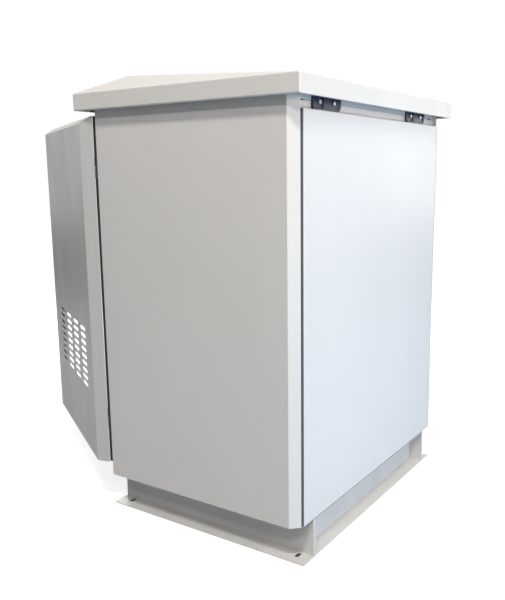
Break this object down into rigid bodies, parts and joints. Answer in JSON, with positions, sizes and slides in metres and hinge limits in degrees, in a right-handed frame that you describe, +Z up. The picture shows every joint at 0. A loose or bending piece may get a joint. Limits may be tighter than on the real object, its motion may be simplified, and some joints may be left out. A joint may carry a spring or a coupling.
{
  "type": "roadside utility cabinet",
  "caption": "Free-standing sheet-steel utility cabinet on a foot plinth, hipped roof, asymmetric pair of front doors with the vented one ajar, lift-off rear panel.",
  "frame": {"origin": "middle of the four anchor slots, on the underside of the plinth feet", "axes": "+Z up, -Y out through the front doors, +X along the width towards the hinges of the open vented door"},
  "size_m": [1.064, 1.3861, 1.391],
  "materials": {
    "shell_grey": "fine satin powder coat",
    "door_grey": "fine satin powder coat",
    "roof_grey": "fine satin powder coat",
    "panel_white": "fine satin powder coat",
    "plinth_grey": "fine satin powder coat",
    "zinc_plate": "zinc plated",
    "hinge_black": "black coating",
    "fastener_steel": "bright zinc",
    "lock_chrome": "satin nickel",
    "seal_black": "matt",
    "clamp_black": "satin black",
    "insulator": "moulded red-brown",
    "earth_brass": "bare"
  },
  "bodies": {
    "cabinet": {"plinth_beam_right": "plinth_grey", "plinth_beam_left": "plinth_grey", "plinth_cross_rear": "plinth_grey", "plinth_cross_front": "plinth_grey", "side_panel_right": "shell_grey", "side_panel_left": "shell_grey", "base_tray": "shell_grey", "gland_plate": "zinc_plate", "gland_plate_screws": "fastener_steel", "front_sill": "shell_grey", "front_top_rail": "shell_grey", "centre_post": "shell_grey", "centre_post_strip": "shell_grey", "top_plate": "shell_grey", "rear_top_rail": "shell_grey", "rear_sill": "shell_grey", "rear_panel": "panel_white", "rear_panel_seal": "seal_black", "rear_clamp_right": "clamp_black", "rear_clamp_left": "clamp_black", "clamp_screws": "fastener_steel", "roof_canopy": "roof_grey", "roof_bearer_front": "zinc_plate", "roof_bearer_rear": "zinc_plate", "roof_bolts": "fastener_steel", "main_hinge_frame_halves": "hinge_black", "main_hinge_pins": "fastener_steel", "side_hinge_frame_halves": "hinge_black", "side_hinge_pins": "fastener_steel", "main_door_seal": "seal_black", "side_door_seal": "seal_black", "rack_upright_front_right": "zinc_plate", "rack_upright_front_left": "zinc_plate", "rack_upright_rear_right": "zinc_plate", "rack_upright_rear_left": "zinc_plate", "side_bay_plate": "zinc_plate", "earth_bar_feet": "insulator", "earth_bar": "earth_brass"},
    "main_door": {"main_door_skin": "door_grey", "main_door_stiffener": "zinc_plate", "main_hinge_door_halves": "hinge_black", "main_bolt_guides": "zinc_plate"},
    "side_door": {"side_door_skin": "door_grey", "side_door_stiffener": "zinc_plate", "side_hinge_door_halves": "hinge_black", "side_lock_bush": "lock_chrome"},
    "main_bolt_upper_slide": {"main_bolt_upper": "fastener_steel"},
    "main_bolt_lower_slide": {"main_bolt_lower": "fastener_steel"},
    "side_lock_barrel": {"side_lock": "lock_chrome"}
  },
  "joints": [
    {"name": "main_door_hinge", "type": "hinge", "parent": "cabinet", "child": "main_door", "pos_m": [0.496, -0.3512, 0.7165], "axis": [0, 0, 1], "range_deg": [-59.5, 50]},
    {"name": "side_door_hinge", "type": "hinge", "parent": "cabinet", "child": "side_door", "pos_m": [-0.496, -0.3512, 0.7165], "axis": [0, 0, -1], "range_deg": [0, 109]},
    {"name": "main_bolt_upper_slide_joint", "type": "slide", "parent": "main_door", "child": "main_bolt_upper_slide", "axis": [0, 0, 1], "range_m": [0, 0.018]},
    {"name": "main_bolt_lower_slide_joint", "type": "slide", "parent": "main_door", "child": "main_bolt_lower_slide", "axis": [0, 0, -1], "range_m": [0, 0.018]},
    {"name": "side_lock_turn", "type": "hinge", "parent": "side_door", "child": "side_lock_barrel", "pos_m": [-0.308, -0.343, 0.7165], "axis": [0, -1, 0], "range_deg": [0, 90]}
  ]
}
